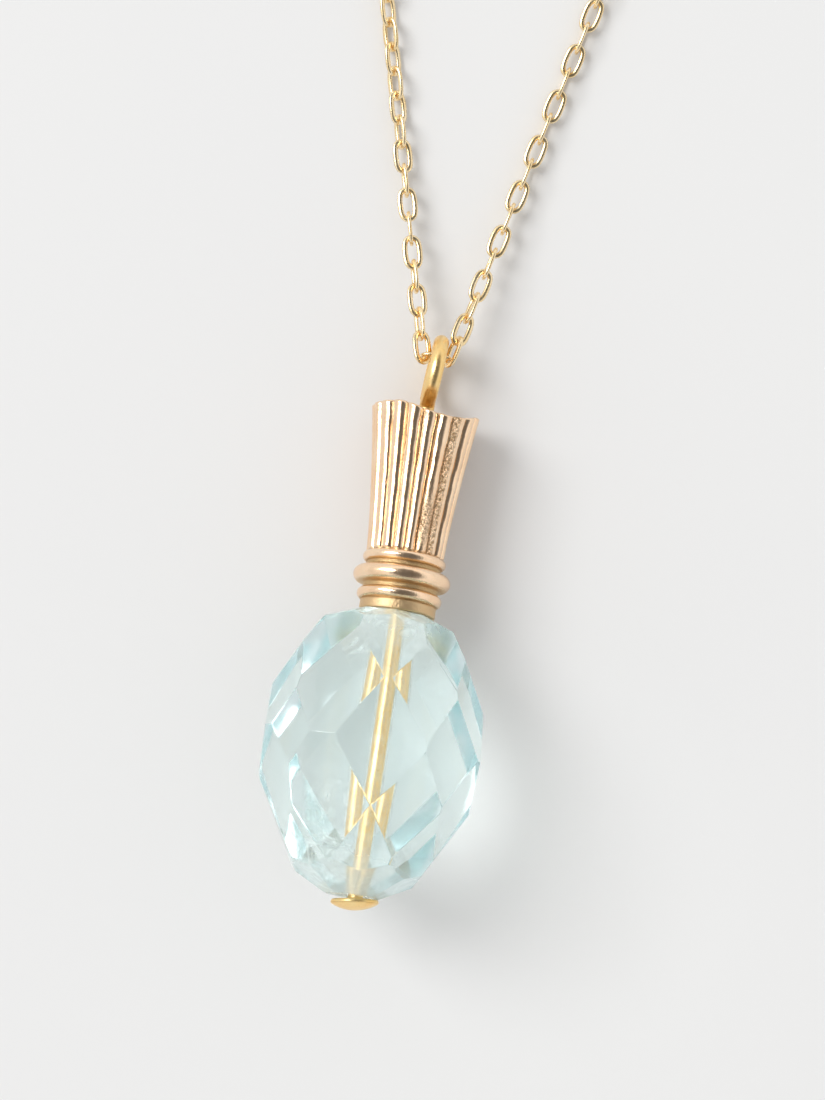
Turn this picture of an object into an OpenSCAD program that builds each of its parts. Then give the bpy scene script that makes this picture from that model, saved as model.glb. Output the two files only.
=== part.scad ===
// A faceted glass-clear bead on a head pin, under a fluted gold cap, on a fine cable chain.
// The necklace lies on a flat surface, z = 0. The pendant points to -Y and the chain runs to +Y.
// The pendant is drawn upright about its pin, z = 0 at the middle of the bead, and then laid down.

/* [Bead] */
// Width of the bead across two girdle facets
bead_w = 11.7; // [10:0.1:14]
// Length of the bead between its two tables
bead_len = 15.9; // [14.8:0.1:19]
// Height of the girdle facets' upper corners above the middle
girdle_up = 3.42; // [2.6:0.02:4]
// Depth of the girdle facets' lower corners below the middle
girdle_down = 3.0; // [2.4:0.02:3.6]
// Width where the upper mains meet the upper cap facets
shoulder_w = 7.2; // [6:0.1:8]
// Height of that upper shoulder above the middle
shoulder_up = 7.3; // [6.6:0.02:7.36]
// Width where the lower mains meet the lower cap facets
heel_w = 7.6; // [6:0.1:8]
// Depth of that lower heel below the middle
heel_down = 6.6; // [6:0.02:7.2]
// Width of the upper table
table_w = 4.1; // [3.4:0.1:5]
// Width of the lower table
foot_table_w = 2.8; // [2.4:0.1:3.4]
// Diameter of the drilled hole
bore_d = 1.1; // [1:0.02:1.4]
// How far the bead's middle lies to the left of its drilled hole
bead_off = 0.25; // [0:0.05:0.4]

/* [Head pin] */
// Diameter of the pin wire
pin_d = 0.85; // [0.6:0.05:0.9]
// Diameter of the domed head
head_d = 2.67; // [2.2:0.01:3.2]
// Thickness of the head from its seat to the top of its dome
head_t = 0.6; // [0.5:0.05:1]
// Tilt of the head on the wire
head_tilt = 6; // [0:1:8]
// Diameter of the loop, at the middle of its wire
loop_d = 3.44; // [3:0.02:4]
// Height of the loop's middle above the cap's rim
loop_rise = 2.35; // [2.25:0.05:2.6]
// Turn of the loop round the pin
loop_turn = 3; // [0:1:8]
// Lean of the loop to the right of the pin
loop_lean = 4.5; // [0:0.5:5]
// Angle left open underneath, where the loop's end comes back to the pin
loop_gap_angle = 34; // [32:1:50]

/* [Cap] */
// Width of the lip that sits on the bead
lip_w = 4.3; // [3.8:0.1:4.6]
// Height of the lip
lip_h = 0.62; // [0.4:0.02:0.8]
// Width of the lower ring
ring_low_w = 4.8; // [4.4:0.05:5.2]
// Thickness of the lower ring
ring_low_t = 0.68; // [0.5:0.02:0.8]
// Width of the middle ring
ring_mid_w = 5.5; // [5.2:0.05:6]
// Thickness of the middle ring
ring_mid_t = 0.94; // [0.7:0.02:1]
// Width of the upper ring
ring_top_w = 4.7; // [4.4:0.05:5.2]
// Thickness of the upper ring
ring_top_t = 0.62; // [0.5:0.02:0.8]
// Height of the groove between two rings
ring_gap = 0.26; // [0.2:0.02:0.4]
// Width of the sleeve at its foot
sleeve_foot_w = 4.4; // [4:0.05:4.6]
// Width of the sleeve at its rim
rim_w = 6.14; // [5.6:0.02:6.8]
// Height of the fluted sleeve
sleeve_h = 8.3; // [6:0.1:10]
// Number of reeds round the sleeve
reed_count = 19; // [15:2:23]
// Depth of the grooves at the sleeve's foot
groove_foot = 0.3; // [0.2:0.02:0.36]
// Depth of the grooves at the rim
groove_rim = 0.42; // [0.3:0.02:0.5]
// Wall of the sleeve behind the grooves
cap_wall = 0.35; // [0.25:0.05:0.5]
// Thickness of the plate that the loop stands on
plate_t = 0.5; // [0.4:0.05:0.8]
// Depth of that plate below the rim
plate_drop = 0.7; // [0.6:0.05:1]
// How far the rim dips at its front right
rim_dip = 0.55; // [0.2:0.05:0.7]

/* [Chain] */
// Length of a link
link_len = 1.95; // [1.93:0.01:2.01]
// Width of a link
link_w = 0.98; // [0.96:0.01:1.04]
// Wire of a link
link_wire = 0.22; // [0.2:0.01:0.23]
// Distance from link to link
link_pitch = 1.4; // [1.39:0.01:1.45]
// Links drawn one by one on each side of the loop
front_links = 18; // [16:1:24]
// Half the angle between the two strands
strand_angle = 14; // [12:0.25:18]
// Radius of the chain's round back
back_r = 34.7; // [30:0.1:45]

/* [Clasp] */
// Outer width of the clasp's ring
clasp_w = 6; // [5:0.1:7]
// Wire of the clasp's ring
clasp_wire = 1.2; // [1:0.05:1.5]
// Outer width of its two eyes
eye_w = 1.7; // [1.6:0.05:2]
// Wire of the eyes
eye_wire = 0.36; // [0.3:0.02:0.4]

/* [Hidden] */
$fn = 48;

facets = 8;
step = 360 / facets;
girdle_r = bead_w / 2;
half_len = bead_len / 2;
girdle_mid = 0.1; // height where neighbouring girdle facets touch
corner_lap = 0.08; // the breaks pass this far above the girdle corners, so each corner is a short edge
seat_gap = 0.03; // clearance between pieces that rest on each other

// How the hand-cut facets differ from even ones, as [turn in degrees, cut as a share of bead_w],
// one pair for each facet round the bead, from the one that faces up
girdle_cuts = [[3, -0.02], [3, 0], [6, -0.006], [0, 0], [0, 0], [0, 0], [0, 0.016], [-2, 0.02]];
break_cuts = [[2, -0.005], [0, -0.002], [5, -0.004], [0, 0], [0, 0], [0, 0.004], [0, 0.010], [0, -0.017]];
main_cuts = [[3, -0.008], [3, 0], [4, -0.019], [0, 0], [0, 0], [0, 0], [0, 0.002], [0, -0.003]];
low_break_cuts =
    [[2, -0.004], [2, -0.008], [3, -0.012], [0, 0], [0, 0], [0, -0.012], [0, -0.012], [0, -0.02]];
low_main_cuts = [[2, 0], [2, 0], [2, -0.02], [0, 0], [0, 0], [0, 0], [0, -0.024], [0, 0]];
no_cuts = [for (k = [0:facets - 1]) [3.5, 0]];

// A row of facets is the plane through two points of the profile, each a radius and a height.
// It gives the plane's tilt from upright and its distance from the middle.
function row_tilt(low, high) = atan2(low[0] - high[0], high[1] - low[1]);
function row_dist(low, high) = low[0] * cos(row_tilt(low, high)) + low[1] * sin(row_tilt(low, high));

// Cap, from the bead's table up
lip_z = half_len + seat_gap;
ring_low_z = lip_z + lip_h;
ring_mid_z = ring_low_z + ring_low_t + ring_gap;
ring_top_z = ring_mid_z + ring_mid_t + ring_gap;
sleeve_z = ring_top_z + ring_top_t;
rim_z = sleeve_z + sleeve_h;
rim_r = rim_w / 2;
sleeve_foot_r = sleeve_foot_w / 2;
collar_r = sleeve_foot_r - 0.1; // core behind the rings
rim_bevel = 0.1;
flare_power = 1.35; // above 1 the flare grows toward the rim
flare_steps = 6;
reed_step = 360 / reed_count;
groove_half = 38; // half the angle of a groove's V
dip_turn = 25; // the rim's low place, from the middle of its upper side toward the right
dip_r = 6.5; // radius of the hollow that the dip is cut with

// Loop of the pin
loop_r = loop_d / 2;
loop_z = rim_z + loop_rise;

// Head, seated on the lower table
dome_share = 0.65; // of the head's thickness
dome_h = head_t * dome_share;
dome_r = (pow(head_d / 2, 2) + pow(dome_h, 2)) / (2 * dome_h);
head_z = half_len + seat_gap + head_d / 2 * sin(head_tilt);

// Rest on the surface: the bead's lower girdle corner and two reeds of the rim touch it
rim_seat_r = sqrt(pow(rim_r, 2) - pow(groove_rim * tan(groove_half), 2));
rim_seat_z = rim_z - rim_bevel;
lie_tilt = atan((girdle_r - rim_seat_r) / (rim_seat_z - girdle_up));
axis_h = girdle_r * cos(lie_tilt) + girdle_up * sin(lie_tilt);

// Chain
link_a = (link_len - link_wire) / 2; // half length at the middle of the wire
link_b = (link_w - link_wire) / 2; // half width at the middle of the wire
chain_h = link_w / 2 + 0.01; // height of the chain's middle where it lies down
pendant_x = -0.135; // the pin stands this far right of the chain's middle
carrier_x = 0.06;
carrier_rise = 0.74; // the carrier link lies this far beyond the loop's middle, inside its top
carrier_lean = 3.5; // its left end points a little up the chain
carrier_dip = 7; // and its right end a little down
carrier_roll = 65;
first_x = 0.893; // the strands' first links, from the chain's middle
first_rise = 0.545; // and beyond the carrier
first_lift = 0.13; // and above it
descent = 16; // the strands come down to the surface over this length

// Where things stand along Y
clasp_out = clasp_w / 2;
loop_y = loop_z * cos(lie_tilt); // from the middle of the bead
loop_h = axis_h - loop_z * sin(lie_tilt);
carrier_y = loop_y + carrier_rise;
first_y = carrier_y + first_rise;
first_h = loop_h + first_lift;
front_y = (dome_r - head_z - head_t) * cos(lie_tilt) - dome_r;
straight_len = (back_r * cos(strand_angle) - first_x) / sin(strand_angle);
back_y = first_y + straight_len * cos(strand_angle) + back_r * sin(strand_angle); // middle of the back
top_y = back_y + back_r + clasp_out;
mid_y = (front_y + top_y) / 2;

// The strand's middle line at a distance s from its first link
arc_angle = 90 + strand_angle;
arc_len = back_r * arc_angle * PI / 180;
strand_len = straight_len + arc_len;
function on_arc(s) = (s - straight_len) / arc_len * arc_angle;
function up_share(s) = 1 - min(s, descent) / descent;
function lie_height(s) = chain_h + (first_h - chain_h) * pow(up_share(s), 2);
first_slope = 2 * (first_h - chain_h) / descent;
function dip_at(s) = atan(first_slope * up_share(s));
// The slope makes a stretch of chain shorter as seen from above
function seen_len(len) = len - pow(first_slope, 2) * descent / 6 * (1 - pow(up_share(len), 3));
function heading(s) = s < straight_len ? 90 - strand_angle : 90 - strand_angle + on_arc(s);
function strand_x(s) = s < straight_len
    ? first_x + s * sin(strand_angle)
    : back_r * cos(on_arc(s) - strand_angle);
function strand_y(s) = s < straight_len
    ? first_y + s * cos(strand_angle)
    : back_y + back_r * sin(on_arc(s) - strand_angle);

// Roll of the links, which lie face up and on edge by turns. The first ones are rolled on by the
// carrier and ease back from that. Farther on, the left strand twists by 45 degrees.
first_roll = 30;
ease_links = 5;
twist_from = 6;
twist_links = 5;
function ease_roll(k) = first_roll * max(0, 1 - k / ease_links);
function twist_roll(k) = 45 * max(0, min(1, (k - twist_from) / twist_links));
function left_roll(k) = (k % 2) * 90 + ease_roll(k) + twist_roll(k);
function right_roll(k) = (1 - k % 2) * 90 + ease_roll(k);

// Back of the chain: one swept tube a side, from the last link to the clasp's eye
tube_sides = 8;
tube_rings = 39;
tube_r = link_w / 2 / cos(180 / tube_sides);
tube_gap = 0.12; // from the tube to the last link and to the clasp's eye
tube_from = seen_len((front_links - 1) * link_pitch) + link_len / 2 + tube_gap;
eye_r = (eye_w - eye_wire) / 2;
eye_x = clasp_out - clasp_wire / 2 + eye_r;
tube_to = strand_len - eye_x - eye_r - eye_wire / 2 - tube_gap;

// Moves a piece that is drawn upright about the pin to where the pendant lies
module laid() {
    translate([pendant_x, -mid_y, axis_h])
        rotate([-90 - lie_tilt, 0, 0])
            children();
}

// The side of one facet that is kept: all within a distance of the middle, for its turn and tilt
module facet_side(turn, tilt, dist) {
    far = 3 * bead_len;
    rotate([0, 0, turn - 90])
        rotate([0, -tilt, 0])
            translate([dist - far, -far / 2, -far / 2])
                cube(far);
}

// A row of facets round the bead
module facet_row(low, high, cuts, phase) {
    intersection_for (k = [0:facets - 1])
        facet_side(
            phase + k * step + cuts[k][0],
            row_tilt(low, high),
            row_dist(low, high) + cuts[k][1] * bead_w
        );
}

module bead() {
    break_r = girdle_r / cos(step / 2);
    edge_r = girdle_r * cos(step / 2);
    low_corner = girdle_down + corner_lap;
    color("lightcyan", 0.6)
    laid()
    difference() {
        translate([-bead_off, 0, 0])
            intersection() {
                cylinder(r = bead_w, h = bead_len, center = true);
                facet_row([girdle_r, 0], [girdle_r, 1], girdle_cuts, 0);
                facet_row([break_r, girdle_mid], [edge_r, girdle_up + corner_lap], break_cuts, step / 2);
                facet_row([girdle_r, girdle_up], [shoulder_w / 2, shoulder_up], main_cuts, 0);
                facet_row([shoulder_w / 2, shoulder_up], [table_w / 2, half_len], no_cuts, step / 2);
                facet_row([edge_r, -low_corner], [break_r, girdle_mid], low_break_cuts, step / 2);
                facet_row([heel_w / 2, -heel_down], [girdle_r, -girdle_down], low_main_cuts, 0);
                facet_row([foot_table_w / 2, -half_len], [heel_w / 2, -heel_down], no_cuts, step / 2);
            }
        cylinder(d = bore_d, h = bead_len + 2, center = true);
    }
}

// The loop: a wire ring that stands on the pin and leans a little, open where its end comes back
module loop() {
    translate([0, 0, loop_z - loop_r])
        rotate([0, loop_lean, loop_turn])
            translate([0, 0, loop_r])
                rotate([90, 90 - loop_gap_angle, 90])
                    rotate_extrude(angle = 360 - loop_gap_angle)
                        translate([loop_r, 0, 0])
                            circle(d = pin_d);
}

module head_pin() {
    color("gold")
    laid()
        union() {
            translate([0, 0, -head_z - head_t / 2])
                cylinder(d = pin_d, h = head_z + head_t / 2 + loop_z - loop_r);
            translate([0, 0, -head_z])
                rotate([0, -head_tilt, 0])
                    intersection() {
                        translate([0, 0, -head_t])
                            cylinder(d = head_d, h = head_t);
                        translate([0, 0, dome_r - head_t])
                            sphere(r = dome_r);
                    }
            loop();
        }
}

// A moulded ring: a wire of round section at its outer edge, over the collar's core
module moulding(z, width, thick) {
    translate([0, 0, z + thick / 2])
        rotate_extrude()
            translate([width / 2 - thick / 2, 0])
                circle(d = thick);
}

// Outer radius of the sleeve at a share of its height
function sleeve_r(share) = sleeve_foot_r + (rim_r - sleeve_foot_r) * pow(share, flare_power);

module cap_body() {
    inner_foot = sleeve_foot_r - groove_foot - cap_wall;
    inner_rim = rim_r - groove_rim - cap_wall;
    well_r = inner_rim - 0.05; // the well above the plate narrows a little
    under_r = inner_rim - 0.15; // and the hollow below the plate is narrower still
    lip_wall = cap_wall * 1.2;
    collar_end = sleeve_z - 0.05; // the collar's core turns out to the sleeve just below its foot
    plate_top = rim_z - plate_drop;
    rotate_extrude()
        polygon(concat(
            [[lip_w / 2 - lip_wall, lip_z], [lip_w / 2, lip_z], [lip_w / 2, ring_low_z],
             [collar_r, ring_low_z + ring_low_t / 2], [collar_r, collar_end]],
            [for (k = [0:flare_steps - 1])
                [sleeve_r(k / flare_steps), sleeve_z + sleeve_h * k / flare_steps]],
            [[rim_r, rim_z - rim_bevel], [rim_r - rim_bevel, rim_z], [inner_rim, rim_z],
             [well_r, plate_top], [bore_d / 2, plate_top], [bore_d / 2, plate_top - plate_t],
             [under_r, plate_top - plate_t], [inner_foot, sleeve_z], [inner_foot, ring_low_z]]
        ));
}

// A groove between two reeds, a V that leans out with the sleeve
module groove() {
    reach = 1;
    lap = 0.02; // it starts this far below the sleeve
    foot = sleeve_foot_r - groove_foot;
    top = rim_r - groove_rim;
    lean = atan((top - foot) / sleeve_h);
    translate([foot, 0, sleeve_z])
        rotate([0, lean, 0])
            translate([0, 0, -lap])
                linear_extrude(sleeve_h / cos(lean) + reach)
                    polygon([[0, 0], [reach, -reach * tan(groove_half)], [reach, reach * tan(groove_half)]]);
}

// A shallow hollow across the rim, lowest at its front right and clear of its back
module rim_hollow() {
    back_clear = 0.1;
    lean = atan((rim_dip + back_clear) / rim_w);
    rotate([0, 0, dip_turn])
        translate([0, 0, rim_z + (back_clear - rim_dip) / 2 + dip_r / cos(lean)])
            rotate([90 + lean, 0, 0])
                cylinder(r = dip_r, h = 3 * rim_w, center = true);
}

module fluted_cap() {
    color("rosybrown")
    laid()
    difference() {
        union() {
            cap_body();
            moulding(ring_low_z, ring_low_w, ring_low_t);
            moulding(ring_mid_z, ring_mid_w, ring_mid_t);
            moulding(ring_top_z, ring_top_w, ring_top_t);
        }
        for (k = [0:reed_count - 1])
            rotate([0, 0, (k + 0.5) * reed_step - 90])
                groove();
        rim_hollow();
    }
}

// One oval link, its long way along X and its face up
module link() {
    straight = link_a - link_b;
    for (side = [-1, 1]) {
        rotate([0, 0, side == 1 ? -90 : 90])
            translate([0, straight, 0])
                rotate_extrude(angle = 180, $fn = 24)
                    translate([link_b, 0])
                        circle(d = link_wire, $fn = 16);
        translate([-straight, side * link_b, 0])
            rotate([0, 90, 0])
                cylinder(d = link_wire, h = 2 * straight, $fn = 16);
    }
}

// A link on the right-hand strand at a distance s, or its mirror place on the left
module strand_link(s, side, roll) {
    translate([side * strand_x(s), strand_y(s) - mid_y, lie_height(s)])
        rotate([roll, dip_at(s), side == 1 ? heading(s) : 180 - heading(s)])
            link();
}

module chain_front() {
    color("khaki") {
        translate([carrier_x, carrier_y - mid_y, loop_h])
            rotate([carrier_roll, carrier_dip, -carrier_lean])
                link();
        for (k = [0:front_links - 1]) {
            strand_link(seen_len(k * link_pitch), -1, left_roll(k));
            strand_link(seen_len(k * link_pitch), 1, right_roll(k));
        }
    }
}

// A tube along one side of the chain, from the last link drawn to the clasp
module back_tube(side) {
    span = tube_to - tube_from;
    rings = [for (k = [0:tube_rings - 1]) tube_from + span * k / (tube_rings - 1)];
    points = [for (s = rings) for (j = [0:tube_sides - 1])
        let (turn = (j + 0.5) * 360 / tube_sides, out = tube_r * cos(turn))
        [side * (strand_x(s) + out * sin(heading(s))),
         strand_y(s) - mid_y - out * cos(heading(s)),
         chain_h + tube_r * sin(turn)]];
    walls = [for (k = [0:tube_rings - 2]) for (j = [0:tube_sides - 1])
        let (a = k * tube_sides + j, b = k * tube_sides + (j + 1) % tube_sides)
        [a, a + tube_sides, b + tube_sides, b]];
    start = [for (j = [0:tube_sides - 1]) j];
    end = [for (j = [tube_sides - 1:-1:0]) (tube_rings - 1) * tube_sides + j];
    faces = concat([start], walls, [end]);
    polyhedron(points, side == 1 ? faces : [for (f = faces) [for (i = [len(f) - 1:-1:0]) f[i]]]);
}

module chain_back() {
    color("khaki") {
        back_tube(-1);
        back_tube(1);
    }
}

module clasp_eye(side) {
    translate([side * eye_x, 0, 0])
        rotate_extrude($fn = 24)
            translate([eye_r, 0])
                circle(d = eye_wire, $fn = 16);
}

module clasp() {
    color("khaki")
    translate([0, back_y + back_r - mid_y, clasp_wire / 2])
        union() {
            rotate_extrude()
                translate([clasp_w / 2 - clasp_wire / 2, 0])
                    circle(d = clasp_wire);
            clasp_eye(-1);
            clasp_eye(1);
        }
}

bead();
head_pin();
fluted_cap();
chain_front();
chain_back();
clasp();
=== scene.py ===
import math
import bmesh
import bpy
import numpy as np
from mathutils import Matrix, Vector


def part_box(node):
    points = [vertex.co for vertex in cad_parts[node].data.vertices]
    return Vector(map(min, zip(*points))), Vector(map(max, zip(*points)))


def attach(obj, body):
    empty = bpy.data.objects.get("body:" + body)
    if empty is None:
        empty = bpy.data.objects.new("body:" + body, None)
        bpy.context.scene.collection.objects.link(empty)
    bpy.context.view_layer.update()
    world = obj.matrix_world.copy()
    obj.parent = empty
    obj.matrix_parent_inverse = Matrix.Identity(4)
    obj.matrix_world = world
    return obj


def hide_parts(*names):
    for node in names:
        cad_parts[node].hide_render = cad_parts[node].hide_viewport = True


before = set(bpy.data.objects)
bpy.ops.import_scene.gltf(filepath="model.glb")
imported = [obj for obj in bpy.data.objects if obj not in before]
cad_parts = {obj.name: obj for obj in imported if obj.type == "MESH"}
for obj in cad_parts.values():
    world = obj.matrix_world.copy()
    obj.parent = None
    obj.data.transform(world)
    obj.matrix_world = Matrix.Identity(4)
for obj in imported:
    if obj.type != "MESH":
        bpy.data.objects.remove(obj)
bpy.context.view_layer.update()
print("frame loaded:", ", ".join(sorted(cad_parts)))

mm = 0.001
scene = bpy.context.scene
scene.view_settings.view_transform = "Standard"
# Light passes many facets inside the bead before it comes out
scene.cycles.max_bounces = 40
scene.cycles.glossy_bounces = 28
scene.cycles.transmission_bounces = 28

# How the pendant lies, in mm: it touches down at the bead's girdle corner and at the cap's rim
lie = dict(
    pendantX=-0.135,  # the pin stands this far right of the chain's middle
    girdleRadius=5.85, girdleUp=3.42,
    rimSeatRadius=3.0524, rimSeatUp=19.56,
)
lieTilt = math.atan((lie["girdleRadius"] - lie["rimSeatRadius"]) / (lie["rimSeatUp"] - lie["girdleUp"]))
axisHeight = lie["girdleRadius"] * math.cos(lieTilt) + lie["girdleUp"] * math.sin(lieTilt)

pin = dict(
    wire=0.85, headWidth=2.67, headThick=0.6, domeShare=0.65, headTilt=6, headSeat=8.12,
    edgeRadius=0.06, edgeDrop=0.1, domeInset=0.05, apexWear=0.01, tiltEase=0.3,
    loopWidth=3.44, loopUp=22.01, loopTurn=3, loopLean=4.5, loopGap=34, bendRadius=0.5, tipRound=0.12,
    dullShadeFrom=18.6, dullShadeTo=20.8, dullShadeEase=0.8, dullAndShade=0.3,
)
domeHeight = pin["headThick"] * pin["domeShare"]
domeRadius = ((pin["headWidth"] / 2) ** 2 + domeHeight ** 2) / (2 * domeHeight)
domeMiddle = (domeRadius - pin["headThick"]) * math.cos(math.radians(pin["headTilt"])) - pin["headSeat"]
frontFromBead = domeMiddle * math.cos(lieTilt) - domeRadius
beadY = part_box("head_pin")[0][1] / mm - frontFromBead  # the middle of the bead along the necklace


# Points of the upright pendant, in mm, turned to where it lies, in metres:
# up the pin becomes along Y and a little down, and the side at minus y comes out on top
def lay(points):
    x, y, z = points[..., 0], points[..., 1], points[..., 2]
    cosT, sinT = math.cos(lieTilt), math.sin(lieTilt)
    return np.stack([
        x + lie["pendantX"],
        beadY - y * sinT + z * cosT,
        axisHeight - y * cosT - z * sinT,
    ], axis=-1) * mm


# Quads of a grid of rows and columns, joined round in the columns and, if asked, in the rows
def gridFaces(rows, cols, closeRows=False):
    r = np.arange(rows if closeRows else rows - 1)[:, None]
    c = np.arange(cols)[None, :]
    rNext, cNext = (r + 1) % rows, (c + 1) % cols
    corners = [r * cols + c, r * cols + cNext, rNext * cols + cNext, rNext * cols + c]
    return np.stack(corners, axis=-1).reshape(-1, 4)


# The piece that stands for one CAD node, as a smooth mesh object from points and quads, with named attributes
# of its points, in the material it is given. The CAD node itself is hidden.
def addPiece(name, points, faces, material, nodeName, attributes=None, merge=0.0):
    mesh = bpy.data.meshes.new(name)
    mesh.vertices.add(points.size // 3)
    mesh.vertices.foreach_set("co", points.astype(np.float32).ravel())
    mesh.loops.add(faces.size)
    mesh.loops.foreach_set("vertex_index", faces.astype(np.int32).ravel())
    mesh.polygons.add(len(faces))
    mesh.polygons.foreach_set("loop_start", np.arange(len(faces), dtype=np.int32) * 4)
    mesh.update(calc_edges=True)
    for key, values in (attributes or {}).items():
        layer = mesh.attributes.new(key, "FLOAT", "POINT")
        layer.data.foreach_set("value", values.astype(np.float32).ravel())
    work = bmesh.new()
    work.from_mesh(mesh)
    if merge:
        bmesh.ops.remove_doubles(work, verts=work.verts, dist=merge)
    bmesh.ops.recalc_face_normals(work, faces=work.faces)
    work.to_mesh(mesh)
    work.free()
    mesh.shade_smooth()
    mesh.materials.append(material)
    linkPiece(name, mesh, nodeName)


def linkPiece(name, mesh, nodeName):
    piece = bpy.data.objects.new(name, mesh)
    scene.collection.objects.link(piece)
    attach(piece, "root")
    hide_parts(nodeName)


# Smooth waves with a given number of bumps round, from a fixed table of starts: a hand's unevenness
def waver(angle, seed, bumps):
    starts = np.random.default_rng(seed).uniform(0, 2 * math.pi, len(bumps))
    return sum(np.sin(angle * count + start) for count, start in zip(bumps, starts)) / len(bumps)


# Adds nodes to a tree and links them
class Nodes:
    def __init__(self, owner):
        owner.use_nodes = True
        self.tree = owner.node_tree
        self.tree.nodes.clear()

    def add(self, kind, values=None, **settings):
        made = self.tree.nodes.new(kind)
        for key, value in settings.items():
            setattr(made, key, value)
        for key, value in (values or {}).items():
            if isinstance(value, bpy.types.NodeSocket):
                self.tree.links.new(value, made.inputs[key])
            else:
                made.inputs[key].default_value = value
        return made

    def mixColor(self, share, first, second):
        return self.add("ShaderNodeMix", {0: share, 6: first, 7: second}, data_type="RGBA").outputs[2]

    def mixShader(self, share, first, second):
        return self.add("ShaderNodeMixShader", {0: share, 1: first, 2: second}).outputs[0]

    def math(self, kind, first, second, clamp=False):
        made = self.add("ShaderNodeMath", {0: first, 1: second}, operation=kind, use_clamp=clamp)
        return made.outputs[0]

    def vector(self, kind, first, second=(0, 0, 0)):
        made = self.add("ShaderNodeVectorMath", {0: first, 1: second}, operation=kind)
        return made.outputs["Value" if kind in ("LENGTH", "DOT_PRODUCT") else "Vector"]

    def spread(self, value, low, high, outLow=0.0, outHigh=1.0):
        made = self.add("ShaderNodeMapRange", {0: value, 1: low, 2: high, 3: outLow, 4: outHigh})
        return made.outputs[0]

    def noise(self, place, scale, detail, roughness=0.5, distortion=0.0):
        return self.add("ShaderNodeTexNoise", {
            "Vector": place, "Scale": scale, "Detail": detail, "Roughness": roughness, "Distortion": distortion,
        }).outputs[0]


# Metal: two tones in soft patches under fine scratches. Where the piece has the attributes for it, it is
# rougher and painted darker in its grooves and recesses as shade (on the cap's lip, as a reflection of the
# glass), and pitted as cast.
def goldMaterial(name, look):
    material = bpy.data.materials.new(name)
    n = Nodes(material)
    place = n.add("ShaderNodeTexCoord").outputs["Object"]
    patch = n.noise(place, look["patchScale"], 3.0)
    fine = n.noise(place, look["fineScale"], 5.0, roughness=0.6)
    tone = n.mixColor(n.spread(patch, 0.35, 0.65), (*look["light"], 1), (*look["deep"], 1))
    rough = n.spread(fine, 0.3, 0.7, *look["rough"])
    depth = look["bump"]
    # Painted shade: the marked grooves and recesses are mixed towards a darker colour; only their extra
    # roughness and bump are the metal's own
    if "grooveShadeColor" in look:
        groove = n.add("ShaderNodeAttribute", attribute_name="groove").outputs["Fac"]
        tone = n.mixColor(n.math("MULTIPLY", groove, look["grooveShadeShare"]), tone, (*look["grooveShadeColor"], 1))
        rough = n.math("ADD", rough, n.math("MULTIPLY", groove, look["grooveRough"]), clamp=True)
        depth = n.math("ADD", depth, n.math("MULTIPLY", groove, look["grooveBump"]))
    if "pitColor" in look:
        pits = n.add("ShaderNodeAttribute", attribute_name="pits").outputs["Fac"]
        bottoms = n.math("MULTIPLY", pits, n.spread(fine, *look["pitBottoms"], look["pitTint"], 0.0))
        tone = n.mixColor(bottoms, tone, (*look["pitColor"], 1))
        depth = n.math("ADD", depth, n.math("MULTIPLY", pits, look["pitBump"]))
    bump = n.add("ShaderNodeBump", {"Strength": depth, "Distance": look["bumpHeight"], "Height": fine})
    shader = n.add("ShaderNodeBsdfPrincipled", {
        "Base Color": tone, "Metallic": 1.0, "Roughness": rough, "Normal": bump.outputs[0],
    })
    n.add("ShaderNodeOutputMaterial", {"Surface": shader.outputs[0]})
    return material


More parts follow.
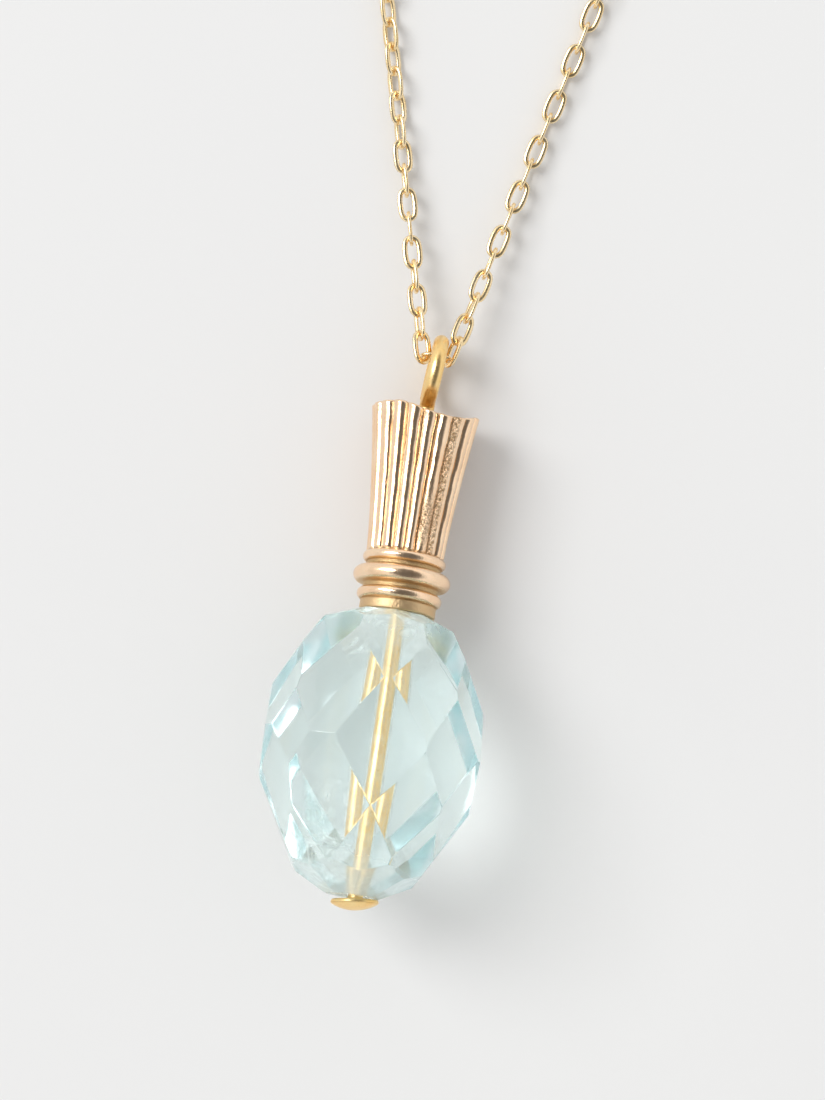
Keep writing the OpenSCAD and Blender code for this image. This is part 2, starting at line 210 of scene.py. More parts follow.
# Glass: clear and pale aqua through its depth, with the faint waves that polishing leaves on its facets
def glassMaterial(name, look):
    material = bpy.data.materials.new(name)
    n = Nodes(material)
    place = n.add("ShaderNodeTexCoord").outputs["Object"]
    polish = n.noise(place, look["polishScale"], 2.0)
    bump = n.add("ShaderNodeBump", {
        "Strength": look["polishBump"], "Distance": look["polishHeight"], "Height": polish,
    })
    glass = n.add("ShaderNodeBsdfPrincipled", {
        "Base Color": (1, 1, 1, 1), "Roughness": n.spread(polish, 0.3, 0.7, *look["rough"]), "IOR": look["ior"],
        "Transmission Weight": 1.0, "Normal": bump.outputs[0],
    })
    # A faint haze all over, and white feathers in places, which stand in for reflections of the ground hole and
    # lighten dark facets: painted reflection and painted light
    feather = n.noise(place, look["featherScale"], 5.0, distortion=1.5)
    haze = look["haze"]
    for x, y, halfWidth, halfLength, even in look["paintedClouds"]:
        offset = n.vector("SUBTRACT", place, (x * mm, (beadY + y) * mm, 0))
        offset = n.vector("MULTIPLY", offset, (1 / (halfWidth * mm), 1 / (halfLength * mm), 0))
        fading = n.spread(n.vector("LENGTH", offset), 0.3, 1.0, 1.0, 0.0)
        paintedCloud = n.math("MULTIPLY", fading, n.spread(feather, 0.48, 0.66, even, 1.0))
        haze = n.math("ADD", haze, n.math("MULTIPLY", paintedCloud, look["paintedCloudShare"]))
    milky = n.add("ShaderNodeBsdfDiffuse", {"Color": (*look["hazeTone"], 1)})
    surface = n.mixShader(haze, glass.outputs[0], milky.outputs[0])
    # Painted light: a ray still inside after many facets ends in a glow of the room's mean tone, so the glass
    # there glows though it is no lamp
    ray = n.add("ShaderNodeLightPath").outputs
    paintedGlow = n.add("ShaderNodeEmission", {"Color": (*look["longWayGlow"], 1)})
    surface = n.mixShader(n.math("GREATER_THAN", ray["Ray Depth"], look["longWay"]), surface, paintedGlow.outputs[0])
    # The bead gathers light under itself: it lets light out low down and holds it back higher up
    height = n.add("ShaderNodeSeparateXYZ", {0: place}).outputs["Z"]
    shadow = n.mixColor(n.spread(height, *look["gather"]), (*look["shadowPale"], 1), (*look["shadowDark"], 1))
    inside = n.add("ShaderNodeNewGeometry").outputs["Backfacing"]
    clear = n.add("ShaderNodeBsdfTransparent", {"Color": n.mixColor(inside, shadow, (1, 1, 1, 1))})
    surface = n.mixShader(ray["Is Shadow Ray"], surface, clear.outputs[0])
    depthTint = n.add("ShaderNodeVolumeAbsorption", {
        "Color": (*look["depthColor"], 1), "Density": look["depthDensity"],
    })
    n.add("ShaderNodeOutputMaterial", {"Surface": surface, "Volume": depthTint.outputs[0]})
    return material


# The ground wall of the drilled hole: fine frost over a clear filling, thick and thin in streaks along the hole
def groundMaterial(name, look):
    material = bpy.data.materials.new(name)
    n = Nodes(material)
    place = n.add("ShaderNodeTexCoord").outputs["Object"]
    grain = n.noise(n.vector("MULTIPLY", place, look["streaks"]), look["scale"], 4.0)
    shader = n.add("ShaderNodeBsdfPrincipled", {
        "Base Color": (*look["tint"], 1), "Roughness": look["rough"],
        "Alpha": n.spread(grain, 0.35, 0.65, *look["frost"]),
    })
    n.add("ShaderNodeOutputMaterial", {"Surface": shader.outputs[0]})
    return material


# The head pin's groove colour is painted shade where the wire goes down into the cap
yellowGold = goldMaterial("yellowGold", dict(
    light=(1.0, 0.75, 0.36), deep=(0.97, 0.64, 0.24), rough=(0.25, 0.38),
    patchScale=900, fineScale=9000, bump=0.12, bumpHeight=0.02 * mm,
    grooveShadeColor=(0.85, 0.48, 0.14), grooveShadeShare=0.8, grooveRough=0.2, grooveBump=0.3,
))
# Its groove colour is painted shade in the cap's grooves, between its rings and inside it, and a painted
# reflection of the glass on its lip
roseGold = goldMaterial("roseGold", dict(
    light=(1.0, 0.75, 0.52), deep=(0.97, 0.67, 0.43), rough=(0.13, 0.26),
    patchScale=700, fineScale=7000, bump=0.15, bumpHeight=0.08 * mm,
    grooveShadeColor=(0.56, 0.39, 0.18), grooveShadeShare=0.85, grooveRough=0.25, grooveBump=0.5,
    pitColor=(0.38, 0.24, 0.11), pitTint=0.9, pitBottoms=(0.44, 0.52), pitBump=1.6,
))
chainGold = goldMaterial("chainGold", dict(
    light=(1.0, 0.82, 0.53), deep=(0.95, 0.72, 0.39), rough=(0.2, 0.32),
    patchScale=1200, fineScale=9000, bump=0.1, bumpHeight=0.01 * mm,
))
aquaGlass = glassMaterial("aquaGlass", dict(
    ior=1.54, rough=(0.05, 0.12), polishScale=900, polishBump=0.05, polishHeight=0.02 * mm,
    depthColor=(0.0, 0.62, 0.68), depthDensity=12.0, longWay=6, longWayGlow=(0.54, 0.74, 0.755),
    gather=(0.5 * mm, 2.6 * mm), shadowPale=(0.36, 0.35, 0.32), shadowDark=(0.17, 0.17, 0.155),
    haze=0.025, hazeTone=(0.80, 0.91, 0.885), featherScale=700, paintedCloudShare=0.6,
    # Each cloud: its middle across and along from the bead's, half its width and length, how even it is
    paintedClouds=(
        (-2.2, -4.3, 2.0, 3.2, 0.0),
        (-1.9, 5.8, 1.0, 0.9, 0.0),
        (-0.4, -7.8, 6.5, 4.0, 0.8),
        (0.0, 8.4, 5.0, 2.6, 0.5),
    ),
))
groundHole = groundMaterial("groundHole", dict(
    tint=(0.93, 0.95, 0.92), rough=0.6, scale=9000, streaks=(1.0, 0.15, 1.0), frost=(0.02, 0.22),
))
print("materials made")


# The bead: the facets of the CAD bead, merged into whole faces, with their edges just broken. Widths are in mm
# and angles in degrees, here and in all that follows.
bead = dict(edgeWidth=0.035, sameFacet=0.3, crispFrom=9, holeRadius=0.57)


def makeBead():
    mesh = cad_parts["bead"].data.copy()
    mesh.name = "facetedBead"
    mesh.materials.clear()
    mesh.materials.append(aquaGlass)
    mesh.materials.append(groundHole)
    work = bmesh.new()
    work.from_mesh(mesh)
    bmesh.ops.remove_doubles(work, verts=work.verts, dist=0.001 * mm)
    same, crispFrom = math.radians(bead["sameFacet"]), math.radians(bead["crispFrom"])
    bmesh.ops.dissolve_limit(work, angle_limit=same, verts=work.verts, edges=work.edges)
    crisp = [e for e in work.edges if len(e.link_faces) == 2 and e.calc_face_angle() > crispFrom]
    bmesh.ops.bevel(work, geom=crisp, offset=bead["edgeWidth"] * mm, segments=2, profile=0.5, affect="EDGES")
    # The wall of the drilled hole is smooth and ground, and the rest is flat and clear
    axisPoint = Vector((lie["pendantX"], beadY, axisHeight)) * mm
    axisWay = Vector((0, math.cos(lieTilt), -math.sin(lieTilt)))
    for face in work.faces:
        away = (face.calc_center_median() - axisPoint).cross(axisWay).length
        face.smooth = away < bead["holeRadius"] * mm
        face.material_index = int(face.smooth)
    work.to_mesh(mesh)
    work.free()
    linkPiece("facetedBead", mesh, "bead")


makeBead()
print("bead made")


# A tube: circles of a given radius across a path that stays in the plane x = 0, turned with it
def sweepInPlane(pathY, pathZ, radius, sides):
    dy, dz = np.gradient(pathY), np.gradient(pathZ)
    size = np.hypot(dy, dz)
    ny, nz = -dz / size, dy / size
    turn = np.arange(sides) * 2 * math.pi / sides
    out = radius[:, None] * np.cos(turn)
    side = radius[:, None] * np.sin(turn)
    return np.stack([side, pathY[:, None] + out * ny[:, None], pathZ[:, None] + out * nz[:, None]], axis=-1)


# The head pin: one wire from its domed head up the axis and round into the loop. The head is a dome, a rounded
# edge and a flat seat, as radius against height, and the rest is a wire of even radius carried along its path.
def makeHeadPin():
    sides = 32
    edgeRadius, tipRound = pin["edgeRadius"], pin["tipRound"]
    wire, half = pin["wire"] / 2, pin["headWidth"] / 2
    seat = -pin["headSeat"]
    apex = seat - pin["headThick"] + pin["apexWear"]
    dome = np.linspace(0, math.asin((half - pin["domeInset"]) / domeRadius), 14)
    edge = np.radians(np.linspace(-60, 90, 7))
    headRadius = np.concatenate([
        domeRadius * np.sin(dome), half - edgeRadius * (1 - np.cos(edge)), [wire + edgeRadius, wire],
    ])
    headUp = np.concatenate([
        apex + domeRadius * (1 - np.cos(dome)),
        seat - edgeRadius * (1 - np.sin(edge)) - pin["edgeDrop"] * np.cos(edge), [seat, seat + edgeRadius],
    ])
    loopRadius, bend = pin["loopWidth"] / 2, pin["bendRadius"]
    stem = np.linspace(seat + 2 * edgeRadius, pin["loopUp"] - loopRadius - bend, 60)
    start = -90 - math.degrees(math.asin(bend / loopRadius))
    ring = np.radians(np.linspace(start, -450 + pin["loopGap"], 110))
    ringY, ringZ = loopRadius * np.cos(ring), pin["loopUp"] + loopRadius * np.sin(ring)
    # The knee: a quadratic curve from the stem to the ring's start, with its corner on the axis
    knee = np.linspace(0, 1, 14)[1:-1]
    corner = ringZ[0] + ringY[0] * math.cos(ring[0]) / math.sin(ring[0])
    kneeY = knee ** 2 * ringY[0]
    kneeZ = (1 - knee) ** 2 * stem[-1] + 2 * knee * (1 - knee) * corner + knee ** 2 * ringZ[0]
    tip = np.radians(np.linspace(0, 90, 6)[1:])
    tipY = ringY[-1] + tipRound * np.sin(tip) * math.sin(ring[-1])
    tipZ = ringZ[-1] - tipRound * np.sin(tip) * math.cos(ring[-1])
    pathY = np.concatenate([np.zeros(len(stem)), kneeY, ringY, tipY])
    pathZ = np.concatenate([stem, kneeZ, ringZ, tipZ])
    tipRadius = wire - tipRound * (1 - np.cos(tip))
    tipRadius[-1] = 0
    radius = np.concatenate([np.full(len(pathZ) - len(tip), wire), tipRadius])
    turn = np.arange(sides) * 2 * math.pi / sides
    head = np.stack([
        headRadius[:, None] * np.sin(turn), -headRadius[:, None] * np.cos(turn),
        np.repeat(headUp[:, None], sides, axis=1),
    ], axis=-1)
    # The head is tilted on the wire: its height changes with x by tan(headTilt), down to nothing at the wire
    tilted = np.clip((headRadius - wire) / pin["tiltEase"], 0, 1)
    tilted[: len(dome)] = 1
    head[..., 2] += head[..., 0] * tilted[:, None] * math.tan(math.radians(pin["headTilt"]))
    grid = np.concatenate([head, sweepInPlane(pathY, pathZ, radius, sides)])
    # The loop leans about its foot, with h the height above it: x' = x cos(lean) + h sin(lean) and
    # z' = foot + h cos(lean) - x sin(lean). Then the whole pin is turned on its axis.
    foot = pin["loopUp"] - loopRadius
    lean, turned = math.radians(pin["loopLean"]), math.radians(pin["loopTurn"])
    x, y, z = grid[..., 0], grid[..., 1], grid[..., 2]
    height = np.maximum(z - foot, 0)
    z = z - height * (1 - math.cos(lean)) - np.where(height > 0, x * math.sin(lean), 0)
    x = x * np.where(height > 0, math.cos(lean), 1) + height * math.sin(lean)
    c, s = math.cos(turned), math.sin(turned)
    grid = lay(np.stack([x * c - y * s, x * s + y * c, z], axis=-1))
    # It is rougher where it goes down into the cap, and painted darker there as shade
    along = np.concatenate([headUp, pathZ])
    rising, falling = (along - pin["dullShadeFrom"]) / pin["dullShadeEase"], (pin["dullShadeTo"] - along) / pin["dullShadeEase"]
    dullAndShade = np.clip(rising, 0, 1) * np.clip(falling, 0, 1) * pin["dullAndShade"]
    addPiece("headPin", grid, gridFaces(len(grid), sides), yellowGold, "head_pin",
             {"groove": np.repeat(dullAndShade, sides)}, merge=0.0005 * mm)


makeHeadPin()
print("head pin made")


# The cap, one cast piece: lip, three rings, the reeded sleeve and the plate that the loop stands on
cap = dict(
    foot=7.98, lipWidth=4.3, lipHeight=0.62, rings=((4.8, 0.68), (5.5, 0.94), (4.7, 0.62)), ringGap=0.26,
    collarRadius=2.1, sleeveFoot=4.4, rimWidth=6.14, sleeveHeight=8.3, flarePower=1.35,
    reeds=19, reedTurn=-5, grooveFoot=0.3, grooveRim=0.42, grooveShare=0.82, roundShare=0.96, wall=0.35,
    plateThick=0.5, plateDrop=0.7, holeRadius=0.55,
    rimDip=0.55, rimBack=0.1, dipRadius=6.5, dipTurn=25, rimSoft=0.06, rimRound=0.12,
    columnsPerReed=28, sleeveRows=64,
    # Handwork and wear: how far the reeds sway and differ in width and depth, and are dented and rubbed down
    sway=0.012, flutter=0.006, widthUneven=0.07, depthUneven=(0.14, 0.1), dent=0.008, wear=0.006,
    # Marks of the casting: one groove is pitted all along, and one reed is bubbly low down
    pittedPlace=1.72, pittedWidth=0.42, bubblyReed=1, bubblyUp=0.22, bubblyReach=0.16, bubbly=0.8,
)


# Rows of profile points: radius and height, how far the reeds cut in, how rough the place is and how far it is
# painted darker (as shade, and on the lip as a reflection of the glass), 1 on the sleeve
def profileRows(radius, up, cut=0.0, groove=0.0, sleeve=0.0):
    return np.stack(np.broadcast_arrays(radius, up, cut, groove, sleeve), axis=-1)


# The rim is a plane that a shallow hollow, a cylinder lying on a slope, cuts into: it is lowest at its front
# right and clear of its back. The lower of the two is taken softly, rim - s ln(1 + exp((rim - hollow) / s)).
def rimTop(x, y, rimUp):
    turn = math.radians(cap["dipTurn"])
    across = x * math.cos(turn) + y * math.sin(turn)
    along = -x * math.sin(turn) + y * math.cos(turn)
    slope = (cap["rimDip"] + cap["rimBack"]) / cap["rimWidth"]
    sag = cap["dipRadius"] - np.sqrt(cap["dipRadius"] ** 2 - across ** 2)
    hollow = rimUp + (cap["rimBack"] - cap["rimDip"]) / 2 + along * slope + sag
    soft = cap["rimSoft"]
    return rimUp - soft * np.log1p(np.exp((rimUp - hollow) / soft))


# The whole cap is one closed profile carried round the pin. Across each reed, u runs from -1 to 1, and the reed
# stands out by sqrt(1 - (roundShare u)^2), scaled to be nothing in the groove: rounded rods, sharp grooves.
def makeCap():
    foot, hole, gap = cap["foot"], cap["holeRadius"], cap["ringGap"]
    lipTop = foot + cap["lipHeight"]
    # The lip with its broken corner, painted olive-brown as a reflection of the glass; the rings, rougher and
    # painted darker as shade towards the collar; and the collar between them, painted in shade
    lipR = cap["lipWidth"] / 2
    rows = [
        profileRows([lipR - 0.42, lipR - 0.08, lipR - 0.02], [foot, foot, foot + 0.02], groove=0.8),
        profileRows(lipR, foot + np.linspace(0.08, cap["lipHeight"] - 0.02, 5), groove=0.8),
    ]
    arc = np.radians(np.linspace(-90, 90, 13))
    ringDullAndShade = np.clip(np.abs(np.sin(arc)) * 3 - 2.1, 0, 0.8)
    up = lipTop
    for width, thick in cap["rings"]:
        ringR, ringUp = (width - thick) / 2 + thick / 2 * np.cos(arc), up + thick / 2 * (1 + np.sin(arc))
        rows.append(profileRows(ringR, ringUp, groove=ringDullAndShade))
        up += thick
        if (width, thick) != cap["rings"][-1]:
            rows.append(profileRows(cap["collarRadius"], up + gap * np.array([0.25, 0.5, 0.75]), groove=1.0))
            up += gap
    # The sleeve flares up to its rim, which is rounded over
    sleeveUp = up
    rimUp = sleeveUp + cap["sleeveHeight"]
    share = np.linspace(0.004, 1, cap["sleeveRows"])
    footR, rimR = cap["sleeveFoot"] / 2, cap["rimWidth"] / 2
    flare = footR + (rimR - footR) * share ** cap["flarePower"]
    rise = sleeveUp + cap["sleeveHeight"] * share - cap["rimRound"] * share ** 30
    depth = cap["grooveFoot"] + (cap["grooveRim"] - cap["grooveFoot"]) * share
    rows.append(profileRows(flare, rise, cut=depth, sleeve=1.0))
    rows.append(profileRows([rimR - 0.05, rimR - 0.14], [rimUp - 0.05, rimUp], cut=[0.38, 0.3], sleeve=1.0))
    # Inside: the wall down to the plate, the plate in to its hole, and under it the wall down to the lip, all
    # rougher and painted darker as shade
    innerRim = rimR - cap["grooveRim"] - cap["wall"]
    innerFoot = footR - cap["grooveFoot"] - cap["wall"]
    plateUp = rimUp - cap["plateDrop"]
    plateUnder = plateUp - cap["plateThick"]
    rows.append(profileRows([innerRim + 0.12, innerRim + 0.04, innerRim], [rimUp, rimUp - 0.02, rimUp - 0.1],
                            cut=[0.08, 0, 0], sleeve=1.0, groove=[0.2, 0.5, 0.8]))
    rows.append(profileRows([innerRim - 0.04, innerRim - 0.12, 1.5, hole + 0.02, hole, hole],
                            [plateUp + 0.1, plateUp, plateUp, plateUp, plateUp - 0.03, plateUnder], groove=1.0))
    rows.append(profileRows([innerRim - 0.2, innerFoot, innerFoot], [plateUnder, sleeveUp, lipTop], groove=1.0))
    profile = np.concatenate(rows)
    radius, up, cut, groove, sleeve = [profile[:, k:k + 1] for k in range(5)]

    columns = cap["reeds"] * cap["columnsPerReed"]
    turn = np.linspace(0, 2 * math.pi, columns, endpoint=False)[None, :]
    step = 2 * math.pi / cap["reeds"]
    inSleeve = np.clip((up - sleeveUp) / cap["sleeveHeight"], 0, 1)
    # The reeds wander a little, as filed by hand, and no two are quite as wide
    reedStart = np.floor(turn / step) * 2.4
    sway = cap["sway"] * waver(turn * 3, 5, (1, 2, 3)) * inSleeve
    sway = sway + cap["flutter"] * waver(up * 2.1 + reedStart, 8, (1, 2))
    uneven = cap["widthUneven"] * waver(turn, 3, (5, 7, 8))
    place = (turn + math.radians(cap["reedTurn"]) + sway) / step + uneven
    across = 2 * (place - np.round(place))
    low = math.sqrt(1 - cap["roundShare"] ** 2)
    crest = (np.sqrt(1 - (cap["roundShare"] * across) ** 2) - low) / (1 - low)
    byReed, byPlace = cap["depthUneven"]
    deepness = cap["grooveShare"] + byReed * waver(turn, 12, (4, 9))
    deepness = deepness + byPlace * waver(up * 1.3 + turn * 2, 15, (1, 3))
    dent = cap["dent"] * waver(up * 9 + turn * 7, 21, (1, 2, 3, 5)) * sleeve
    wear = cap["wear"] * (1 + waver(turn, 30, (3, 5, 9))) * (1 - sleeve)
    r = np.maximum(radius - cut * deepness * (1 - crest) - np.abs(dent) - wear, hole)
    x, y = r * np.sin(turn), -r * np.cos(turn)
    z = up - (rimUp - rimTop(x, y, rimUp)) * sleeve * inSleeve ** 3
    points = lay(np.stack([x, y, z], axis=-1))
    points[..., 2] = np.maximum(points[..., 2], 0)  # worn flat where it rests
    # Where it is rougher and painted darker as shade, also on the flanks of the reeds down into their grooves,
    # and where it is pitted
    dullAndShade = np.clip(groove + sleeve * (groove == 0) * np.clip(0.8 - crest * 2.1, 0, 1), 0, 1)
    pitted = np.exp(-((place - cap["pittedPlace"]) / (cap["pittedWidth"] / 2)) ** 4) * sleeve
    bubbly = np.exp(-((inSleeve - cap["bubblyUp"]) / cap["bubblyReach"]) ** 2) * sleeve
    bubbly = cap["bubbly"] * bubbly * (np.round(place) == cap["bubblyReed"])
    addPiece("flutedCap", points, gridFaces(len(profile), columns, closeRows=True), roseGold, "fluted_cap",
             {"groove": dullAndShade, "pits": np.clip(pitted + bubbly, 0, 1)})


makeCap()
print("cap made")

# The chain, in mm: two straight strands from the pin's loop and a round back, closed by the clasp
chain = dict(
    linkLength=1.95, linkWidth=1.06, squareness=2.4, wire=0.22, wireWide=1.4, wireFlat=0.7, pitch=1.4,
    strandAngle=14, backRadius=34.7, descent=16, restHeight=0.585, farHeight=0.46,
    carrierX=0.06, carrierRise=0.74, carrierTurn=(65, 7, -3.5),
    firstX=0.893, firstRise=0.545, firstLift=0.13, firstRoll=30,
    # Counted in links: how many show a side, how many ease their roll, where and over how many the left strand
    # twists, and over how many the hidden ones settle
    frontLinks=18, easeLinks=5, twistFrom=6, twistLinks=5, settleLinks=10, twistBy=45,
)
clasp = dict(width=6, wire=1.2, eyeWidth=1.7, eyeWire=0.36, clearance=0.02)
loopY = beadY + pin["loopUp"] * math.cos(lieTilt)
loopHeight = axisHeight - pin["loopUp"] * math.sin(lieTilt)
firstY = loopY + chain["carrierRise"] + chain["firstRise"]
firstHeight = loopHeight + chain["firstLift"]
slope = 2 * (firstHeight - chain["restHeight"]) / chain["descent"]
strand = math.radians(chain["strandAngle"])
straight = (chain["backRadius"] * math.cos(strand) - chain["firstX"]) / math.sin(strand)
backY = firstY + straight * math.cos(strand) + chain["backRadius"] * math.sin(strand)
strandLength = straight + chain["backRadius"] * (math.pi / 2 + strand)


# Place, roll, dip and heading of links at distances along one side of the chain. From above it is a straight
# line, then a circle. The height falls as the square of what is left of the descent.
def strandAt(distance, side, roll):
    radius, descent, rest = chain["backRadius"], chain["descent"], chain["restHeight"]
    left = 1 - np.minimum(distance, descent) / descent
    seen = distance - slope ** 2 * descent / 6 * (1 - left ** 3)
    left = 1 - np.minimum(seen, descent) / descent
    onArc = np.maximum(seen - straight, 0) / radius
    line = np.minimum(seen, straight)
    x = np.where(seen < straight, chain["firstX"] + line * math.sin(strand), radius * np.cos(onArc - strand))
    y = np.where(seen < straight, firstY + line * math.cos(strand), backY + radius * np.sin(onArc - strand))
    far = np.clip((distance / chain["pitch"] - chain["frontLinks"]) / chain["settleLinks"], 0, 1)
    z = rest + (firstHeight - rest) * left ** 2 + far ** 2 * (chain["farHeight"] - rest)
    heading = math.pi / 2 - strand + onArc
    heading = heading if side == 1 else math.pi - heading
    return np.stack([side * x, y, z], axis=-1), np.radians(roll), np.arctan(slope * left), heading


# One link: a circle of radius b drawn out along its length by a smooth step, y = b sin t and
# x = b cos t + (a - b) tanh(k cos t) / tanh k. The flats of its wire, where it was cut, face up and down.
def linkShape(around, sides):
    a, b = (chain["linkLength"] - chain["wire"]) / 2, (chain["linkWidth"] - chain["wire"]) / 2
    k = chain["squareness"]
    turn = np.arange(around) * 2 * math.pi / around
    x = b * np.cos(turn) + (a - b) * np.tanh(k * np.cos(turn)) / math.tanh(k)
    y = b * np.sin(turn)
    dx = -b * np.sin(turn) - (a - b) * k * np.sin(turn) / np.cosh(k * np.cos(turn)) ** 2 / math.tanh(k)
    dy = b * np.cos(turn)
    size = np.hypot(dx, dy)
    nx, ny = dy / size, -dx / size
    section = (np.arange(sides) + 0.5) * 2 * math.pi / sides
    out = chain["wire"] / 2 * chain["wireWide"] * np.cos(section)
    high = chain["wire"] / 2 * np.sign(np.sin(section)) * np.abs(np.sin(section)) ** chain["wireFlat"]
    high = np.broadcast_to(high, (around, sides))
    return np.stack([x[:, None] + out * nx[:, None], y[:, None] + out * ny[:, None], high], axis=-1)


# Many copies of one link as one mesh: each is rolled about its length, dipped and turned to its heading
def addLinks(name, place, roll, dip, heading, around, sides, nodeName):
    shape = linkShape(around, sides).reshape(-1, 3)
    faces = gridFaces(around, sides, closeRows=True)
    cr, sr, cd, sd, ch, sh = (f(v) for v in (roll, dip, heading) for f in (np.cos, np.sin))
    turned = np.array([
        [ch * cd, ch * sd * sr - sh * cr, ch * sd * cr + sh * sr],
        [sh * cd, sh * sd * sr + ch * cr, sh * sd * cr - ch * sr],
        [-sd, cd * sr, cd * cr],
    ])
    points = np.einsum("ijn,vj->nvi", turned, shape) + place[:, None, :]
    allFaces = (faces[None] + (np.arange(len(place)) * len(shape))[:, None, None]).reshape(-1, 4)
    addPiece(name, points * mm, allFaces, chainGold, nodeName)


# Every second link is rolled by a quarter turn. The first ones ease into that from the pin's loop, and further
# on each strand twists by an eighth of a turn, until its links lean to either side.
def makeChain():
    count = chain["frontLinks"]
    number = np.arange(count)
    easing = chain["firstRoll"] * np.maximum(0, 1 - number / chain["easeLinks"])
    twist = chain["twistBy"] * np.clip((number - chain["twistFrom"]) / chain["twistLinks"], 0, 1)
    sides = [
        strandAt(number * chain["pitch"], -1, (number % 2) * 90 + easing + twist),
        strandAt(number * chain["pitch"], 1, (1 - number % 2) * 90 + easing),
    ]
    roll, dip, turn = np.radians(chain["carrierTurn"])
    carrier = (np.array([[chain["carrierX"], loopY + chain["carrierRise"], loopHeight]]),
               np.array([roll]), np.array([dip]), np.array([turn]))
    addLinks("chainFront", *(np.concatenate(v) for v in zip(carrier, *sides)), 32, 10, "chain_front")

    # The hidden stretch: the same links, the last one through the clasp's eye
    eyeRadius = (clasp["eyeWidth"] - clasp["eyeWire"]) / 2
    eyeOuter = clasp["width"] / 2 - clasp["wire"] / 2 + 2 * eyeRadius
    inEye = eyeOuter - (clasp["eyeWire"] + chain["wire"]) / 2 - clasp["clearance"]
    hook = inEye + (chain["linkLength"] - chain["wire"]) / 2
    start = (count - 1) * chain["pitch"]
    end = strandLength + slope ** 2 * chain["descent"] / 6 - hook
    backCount = round((end - start) / chain["pitch"])
    step = np.arange(1, backCount + 1)
    along = start + (end - start) * step / backCount
    twist = chain["twistBy"] * np.minimum(1, step / chain["settleLinks"])
    sides = [
        strandAt(along, -1, ((step + count - 1) % 2) * 90 + chain["twistBy"]),
        strandAt(along, 1, ((step + count) % 2) * 90 + twist),
    ]
    addLinks("chainBack", *(np.concatenate(v) for v in zip(*sides)), 20, 8, "chain_back")
    print("links in all:", 2 * (count + backCount) + 1)


makeChain()
print("chain made")

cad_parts["clasp"].data.materials.clear()
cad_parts["clasp"].data.materials.append(chainGold)


# The floor: a pale smooth sheet, hardly uneven, 6 m wide
sheet = dict(
    half=3.0, rough=0.7, gloss=0.2,
    patchScale=18.0, light=(0.815, 0.815, 0.81), deep=(0.80, 0.80, 0.80),
)


def makeFloor():
    material = bpy.data.materials.new("paleSheet")
    n = Nodes(material)
    patch = n.noise(n.add("ShaderNodeTexCoord").outputs["Object"], sheet["patchScale"], 2.0)
    shader = n.add("ShaderNodeBsdfPrincipled", {
        "Base Color": n.mixColor(n.spread(patch, 0.3, 0.7), (*sheet["deep"], 1), (*sheet["light"], 1)),
        "Roughness": sheet["rough"], "Specular IOR Level": sheet["gloss"],
    })
    n.add("ShaderNodeOutputMaterial", {"Surface": shader.outputs[0]})
    mesh = bpy.data.meshes.new("floor")
    half = sheet["half"]
    corners = [(-half, -half, 0), (half, -half, 0), (half, half, 0), (-half, half, 0)]
    mesh.from_pydata(corners, [], [(0, 1, 2, 3)])
    mesh.materials.append(material)
    floor = bpy.data.objects.new("floor", mesh)
    scene.collection.objects.link(floor)


makeFloor()

# The camera looks straight down with a long lens, turned so that the pendant leans to the right
view = dict(lens=135, lean=8.3, pixelsPerMm=18.0, longSide=1100, lookX=0.36, lookUp=11.57, sensor=36)
lean = math.radians(view["lean"])
imageRight = Vector((math.cos(lean), math.sin(lean), 0))
imageUp = Vector((-math.sin(lean), math.cos(lean), 0))
away = view["longSide"] / view["pixelsPerMm"] * view["lens"] / view["sensor"]
cameraData = bpy.data.cameras.new("camera")
cameraData.lens, cameraData.sensor_width = view["lens"], view["sensor"]
cameraData.clip_start, cameraData.clip_end = 0.01, 10
camera = bpy.data.objects.new("camera", cameraData)
scene.collection.objects.link(camera)
cameraPlace = Vector((lie["pendantX"] + view["lookX"], beadY + view["lookUp"], axisHeight + away)) * mm
cameraTurn = Matrix((imageRight, imageUp, Vector((0, 0, 1)))).transposed().to_4x4()
camera.matrix_world = Matrix.Translation(cameraPlace) @ cameraTurn
scene.camera = camera

# A large soft light from the left and a little from the top of the picture, in metres and watts
light = dict(
    fromRight=-0.84, fromUp=0.54, height=48, distance=2.0, width=0.83, tallShare=1.4, power=22.8,
    color=(1.0, 0.995, 0.985),
)
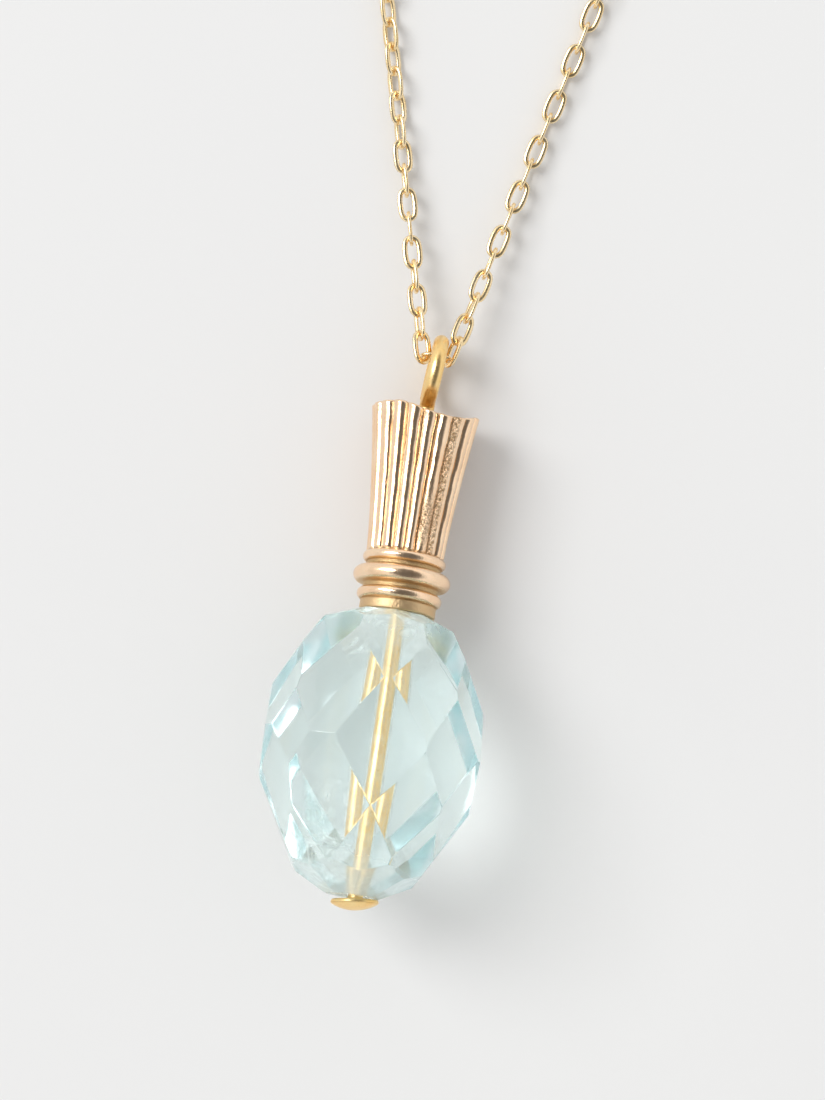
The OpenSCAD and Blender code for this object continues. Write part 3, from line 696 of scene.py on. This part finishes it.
# The room in bands from the level up to overhead, each the sine of its height and its brightness: pale walls,
# and an unlit ceiling, which the metal mirrors darkest. The ceiling's dark part is long along Y, so directions
# are drawn together along Y before they are compared with overhead. One end of the room is a little brighter.
room = dict(
    overhead=(0.19, 0.0, 0.98), drawn=(1.0, 0.5, 1.0), brighterTo=(-0.02, 0.08, 0.0),
    asMetalSees=((0.0, 0.76), (0.3, 0.94), (0.74, 1.0), (0.79, 0.58), (0.82, 0.24), (1.0, 0.13)),
    asGlassSees=((0.0, 0.72), (0.5, 0.9), (0.93, 0.8), (0.98, 0.5), (1.0, 0.4)),
    asFloorSees=((0.0, 0.65), (1.0, 0.65)),
)


def makeSoftbox():
    target = Vector((0, beadY * mm, 0))
    flat = (imageRight * light["fromRight"] + imageUp * light["fromUp"]).normalized()
    rise = math.radians(light["height"])
    way = flat * math.cos(rise) + Vector((0, 0, math.sin(rise)))
    data = bpy.data.lights.new("softbox", "AREA")
    data.shape, data.size, data.size_y = "RECTANGLE", light["width"], light["width"] * light["tallShare"]
    data.energy, data.color = light["power"], light["color"]
    lamp = bpy.data.objects.new("softbox", data)
    lamp.location = target + way * light["distance"]
    lamp.rotation_euler = way.to_track_quat("Z", "Y").to_euler()
    scene.collection.objects.link(lamp)


def makeRoom():
    world = bpy.data.worlds.new("room")
    scene.world = world
    n = Nodes(world)
    way = n.add("ShaderNodeTexCoord").outputs["Generated"]
    drawn = n.vector("NORMALIZE", n.vector("MULTIPLY", way, room["drawn"]))
    height = n.vector("DOT_PRODUCT", drawn, Vector(room["overhead"]).normalized())
    side = n.vector("DOT_PRODUCT", way, room["brighterTo"])
    seen = {}
    for key in ("asMetalSees", "asGlassSees", "asFloorSees"):
        ramp = n.add("ShaderNodeValToRGB", {0: height})
        bands = ramp.color_ramp.elements
        while len(bands) < len(room[key]):
            bands.new(0.5)
        for band, (position, level) in zip(bands, room[key]):
            band.position, band.color = position, (level, level, level, 1)
        seen[key] = ramp.outputs[0]
    ray = n.add("ShaderNodeLightPath").outputs
    tone = n.mixColor(ray["Is Transmission Ray"], seen["asMetalSees"], seen["asGlassSees"])
    fromFloor = n.math("GREATER_THAN", ray["Diffuse Depth"], 0.5)
    tone = n.mixColor(fromFloor, tone, seen["asFloorSees"])
    back = n.add("ShaderNodeBackground", {"Color": tone, "Strength": n.math("ADD", side, 1.0)})
    n.add("ShaderNodeOutputWorld", {"Surface": back.outputs[0]})


makeSoftbox()
makeRoom()
print("camera and lights set")
